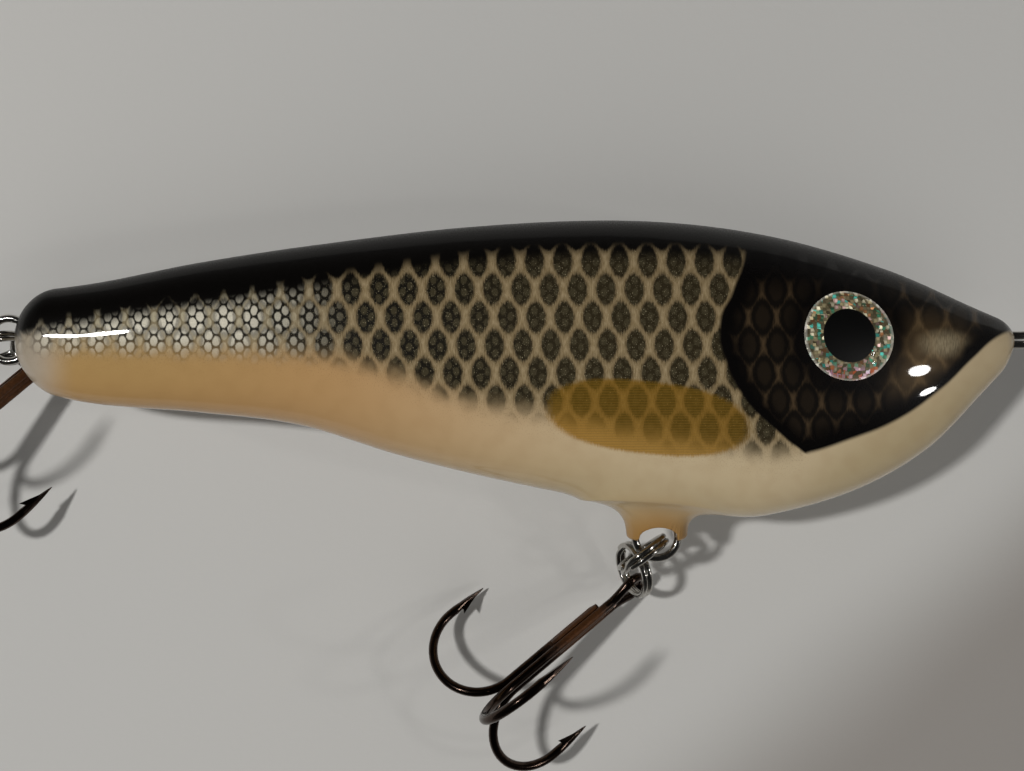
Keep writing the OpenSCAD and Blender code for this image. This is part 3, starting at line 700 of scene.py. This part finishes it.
X, Y = Vector((1, 0, 0)), Vector((0, 1, 0))
HANGER_R = (HANGER_OD - EYE_WIRE) / 2
TIE_R = (TIE_OD - EYE_WIRE) / 2
LEG_PITCH = EYE_WIRE / 2 + 0.1
BELLY_EYE = Vector((NUB_X, NUB_Y, 0))
TAIL_EYE = Vector((TAIL_EYE_X, 0, 0))
TIE_EYE = Vector((BODY_LEN + TIE_NECK + TIE_R, 0, 0))
for name, node, centre, inward, across, r, leg in (
        ("belly_eye_wire", "belly_hanger", BELLY_EYE, Y, X, HANGER_R, HANGER_R + 6),
        ("tail_eye_wire", "tail_hanger", TAIL_EYE, X, Y, HANGER_R, HANGER_R + 7),
        ("nose_eye_wire", "nose_line_tie", TIE_EYE, -X, Y, TIE_R, TIE_R + 8)):
    path = eye_path(centre, inward, across, r, 60, r * 1.25, LEG_PITCH, leg)
    o = tube(name, path, [EYE_WIRE / 2] * len(path))
    finish_piece(o, wire_mat, "lure_body", node)


# ---------------------------------------------------------------- split rings
# One coil of two turns each, with the step between the turns and two cut ends.
# Each ring is hung on the strand of the one before it, and the hook on the lower ring, as in the CAD.
def compass(az, el):
    """Direction by compass angle and rise, in degrees."""
    az, el = math.radians(az), math.radians(el)
    return Vector((math.cos(el) * math.cos(az), math.cos(el) * math.sin(az), math.sin(el)))


def on_plane(n, a):
    """Direction at angle a in the plane with normal n."""
    u = Vector((0, 0, 1)).cross(n).normalized()
    a = math.radians(a)
    return u * math.cos(a) + n.cross(u) * math.sin(a)


RING_R = (RING_OD - RING_WIRE) / 2
belly_n1, belly_n2 = compass(126.3, -8), compass(14.3, -21)
belly_c1 = BELLY_EYE + Vector((0.82, -0.78, 0)) - on_plane(belly_n1, 146.7) * RING_R
belly_link = belly_c1 + on_plane(belly_n1, -67.6) * (RING_R - 2.46)
belly_c2 = belly_link - on_plane(belly_n2, 52.8) * RING_R
belly_hook_at = belly_c2 + on_plane(belly_n2, -142) * RING_R
tail_n1, tail_n2 = compass(-66.4, 13.5), compass(-143.6, -48.8)
tail_c1 = TAIL_EYE + Vector((-0.44, 0.62, 0)) - on_plane(tail_n1, 36.9) * RING_R
tail_link = tail_c1 + on_plane(tail_n1, -30.7) * (RING_R - 1.6)
tail_c2 = tail_link - on_plane(tail_n2, 121.9) * RING_R
tail_hook_at = tail_c2 + on_plane(tail_n2, -84.7) * RING_R


COIL_STEPS, COIL_TURNS, COIL_GAP = 240, 1.96, 0.02  # steps, turns of wire, share of a turn left at its start
COIL_STEP_AT, COIL_STEP_LEN = 0.47, 0.06            # where the wire steps from one turn to the next


def coil(name, node, body, centre, n, start):
    """Split ring of two turns, its cut ends from the angle start."""
    u, v = on_plane(n, start), on_plane(n, start + 90)
    path = []
    for i in range(COIL_STEPS + 1):
        s = i / COIL_STEPS
        a = 2 * math.pi * (COIL_GAP + COIL_TURNS * s)
        w = min(max((s - COIL_STEP_AT) / COIL_STEP_LEN, 0.0), 1.0)
        lift = (w * w * (3 - 2 * w) - 0.5) * 0.94 * RING_WIRE
        path.append(centre + u * (RING_R * math.cos(a)) + v * (RING_R * math.sin(a)) + n * lift)
    radii = [RING_WIRE / 2 * (0.8 if i in (0, COIL_STEPS) else 1.0) for i in range(COIL_STEPS + 1)]
    o = tube(name, path, radii, 16)
    finish_piece(o, wire_mat, body, node)


coil("belly_coil_upper", "belly_ring_upper", "belly_ring_top", belly_c1, belly_n1, 40)
coil("belly_coil_lower", "belly_ring_lower", "belly_ring_bottom", belly_c2, belly_n2, -40)
coil("tail_coil_upper", "tail_ring_upper", "tail_ring_top", tail_c1, tail_n1, 200)
coil("tail_coil_lower", "tail_ring_lower", "tail_ring_bottom", tail_c2, tail_n2, 30)

# ---------------------------------------------------------------- treble hooks
# Two prongs are one wire with the eye, and the third lies against them in the brazed seam.
WIRE_PITCH = HOOK_WIRE + 0.06              # between neighbouring shanks
CLUSTER = WIRE_PITCH / math.sqrt(3)        # from the hook's axis to a shank
HOOK_R = HOOK_WIRE / 2
HOOK_EYE_R = HOOK_EYE_ID / 2 + HOOK_R
BEND_R = (HOOK_REACH - CLUSTER) / 2
POINT_LEN = POINT_H - BEND_R               # straight wire past the bend
CONE, BARB_AT = 5.6, 4.6                   # length of the taper, place of the barb past the bend
SINGLE_START = 6.2                         # where the third shank starts
HOOK_EYE_OPEN, HOOK_EYE_SLANT = 62, 3.4    # opening of the eye in degrees, length of its throat
SHANK_STEPS, BEND_STEPS, POINT_STEPS = 14, 48, 30


def hook_material(name, at, h):
    """Black nickel that turns brown where the shanks are brazed."""
    m, t, shader = new_material(name)
    p = object_place(t)
    rel = add(t, "ShaderNodeVectorMath", {0: p, 1: at}, operation="SUBTRACT").outputs[0]
    along = add(t, "ShaderNodeVectorMath", {0: rel, 1: h}, operation="DOT_PRODUCT").outputs["Value"]
    wander = calc(t, "MULTIPLY_ADD", noise(t, p, 0.9, 3.0), 4.0, -2.0)
    along = calc(t, "ADD", along, wander)
    heat = calc(t, "MULTIPLY", step(t, along, 4.5, 7.5), step(t, along, 18.5, 13.0))
    nickel = blend(t, noise(t, p, 1.3, 2.0), lin("#2a211d"), lin("#5a4c44"))
    scale = blend(t, noise(t, p, 2.6, 4.0), lin("#1f1209"), lin("#6b4324"))
    t.links.new(blend(t, heat, nickel, scale), shader.inputs["Base Color"])
    t.links.new(calc(t, "MULTIPLY_ADD", heat, -0.45, 1.0), shader.inputs["Metallic"])
    t.links.new(calc(t, "MULTIPLY_ADD", heat, 0.3, 0.17), shader.inputs["Roughness"])
    crust = add(t, "ShaderNodeBump", {"Strength": calc(t, "MULTIPLY", heat, 0.5), "Distance": 0.0001,
                "Height": noise(t, p, 3.5, 4.0)})
    t.links.new(crust.outputs[0], shader.inputs["Normal"])
    return m


def prong_path(h, radial, axis_at, start):
    """Shank from start, bend and point of one prong."""
    inner = axis_at + radial * CLUSTER
    shank = HOOK_LEN - BEND_R - start
    path = [inner + h * (start + shank * i / SHANK_STEPS) for i in range(SHANK_STEPS + 1)]
    centre = axis_at + h * (HOOK_LEN - BEND_R) + radial * (CLUSTER + BEND_R)
    path += arc(centre, h, radial, BEND_R, -math.pi / 2, math.pi / 2, BEND_STEPS)[1:]
    last = path[-1]
    path += [last - h * (POINT_LEN * i / POINT_STEPS) for i in range(1, POINT_STEPS + 1)]
    return path


def prong_radii(count):
    """Full wire but for the last part, which tapers to a point and turns square."""
    radii, flat = [HOOK_R] * count, [0.0] * count
    bend_end = count - 1 - POINT_STEPS
    for i in range(1, POINT_STEPS + 1):
        left = POINT_LEN * (1 - i / POINT_STEPS)
        if left < CONE:
            s = left / CONE
            radii[bend_end + i] = HOOK_R * (0.06 + 0.94 * s ** 0.8)
            flat[bend_end + i] = min(1.0, (1 - s) * 2.5)
    return radii, flat


def barb(name, prong, h, radial):
    """Sliver cut up from the inside of a prong's point."""
    side = h.cross(radial)
    root = prong[-1 - POINT_STEPS] - h * (POINT_LEN - BARB_AT)
    t0 = root - h * 2.9 - radial * 0.25
    t1 = root - h * 0.9 - radial * 0.45
    t2 = root + h * 0.5 - radial * 1.45
    verts = []
    for q, w in ((t0, 0.04), (t1, 0.34), (t2, 0.05), (root - h * 0.2 - radial * 0.3, 0.34)):
        verts += [place(*(q + side * w)), place(*(q - side * w))]
    faces = [(0, 4, 2), (1, 3, 5), (0, 1, 5, 4), (4, 5, 7, 6), (2, 6, 7, 3), (0, 2, 3, 1), (2, 4, 6), (3, 7, 5)]
    return new_object(name, verts, faces)


def join(parts):
    """Objects as one, under the first one's name."""
    bpy.ops.object.select_all(action="DESELECT")
    for o in parts:
        o.select_set(True)
    bpy.context.view_layer.objects.active = parts[0]
    bpy.ops.object.join()
    return parts[0]


def treble(word, body, at, az, rise, roll):
    """Treble hook with its eye at a point, by the shank's direction and the roll of the third prong."""
    h = compass(az, rise)
    over = compass(az, rise + 90)
    beside = h.cross(over)

    def radial(a):
        a = math.radians(a)
        return over * math.cos(a) + beside * math.sin(a)
    g = radial(roll)
    s = g.cross(h)
    axis_at = at + g * (CLUSTER / 2)
    material = hook_material(word + "_nickel", at, h)
    half = WIRE_PITCH / 2
    neck = HOOK_EYE_R * math.cos(math.radians(HOOK_EYE_OPEN)) + HOOK_EYE_SLANT
    loop = eye_path(at, h, s, HOOK_EYE_R, HOOK_EYE_OPEN, neck, half, neck + 0.01)
    ends_of = []
    for sign in (1, -1):
        out = (s * (sign * half) - g * (CLUSTER / 2)).normalized()
        ends_of.append((prong_path(h, out, axis_at, neck + 0.02), out))
    first, second = ends_of[0][0], ends_of[1][0]
    path = first[::-1] + loop + second
    radii, flat = prong_radii(len(first))
    middle = [HOOK_R] * len(loop)
    squared = flat[::-1] + [0.0] * len(loop) + flat
    pieces = [tube(word + "_double", path, radii[::-1] + middle + radii, 20, squared)]
    for prong, out in ends_of:
        pieces.append(barb(word + "_barb", prong, h, out))
    double = join(pieces)
    finish_piece(double, material, body, word + "_hook_double")
    prong = prong_path(h, g, axis_at, SINGLE_START)
    radii, flat = prong_radii(len(prong))
    radii[0] = HOOK_R * 0.7
    single = tube(word + "_single", prong, radii, 20, flat)
    single = join([single, barb(word + "_barb_single", prong, h, g)])
    finish_piece(single, material, body, word + "_hook_single")
    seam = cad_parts[word + "_hook_braze"]
    seam.data.materials.clear()
    seam.data.materials.append(material)


treble("belly", "belly_hook", belly_hook_at, 215.7, 18.5, 125)
treble("tail", "tail_hook", tail_hook_at, 225.6, 18.5, 244.7)

# ---------------------------------------------------------------- weights inside
# The CAD shapes in turned steel; nothing shows them from outside.
m, t, shader = new_material("turned_steel")
p = object_place(t)
t.links.new(blend(t, noise(t, p, 2.0, 3.0), lin("#6d6e70"), lin("#8f9092")), shader.inputs["Base Color"])
shader.inputs["Metallic"].default_value = 1.0
t.links.new(step(t, noise(t, p, 6.0, 2.0, (1, 1, 0.1)), 0.3, 0.7, 0.3, 0.5), shader.inputs["Roughness"])
for node in ("ballast_front", "ballast_middle", "ballast_rear"):
    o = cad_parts[node]
    o.data.materials.clear()
    o.data.materials.append(m)
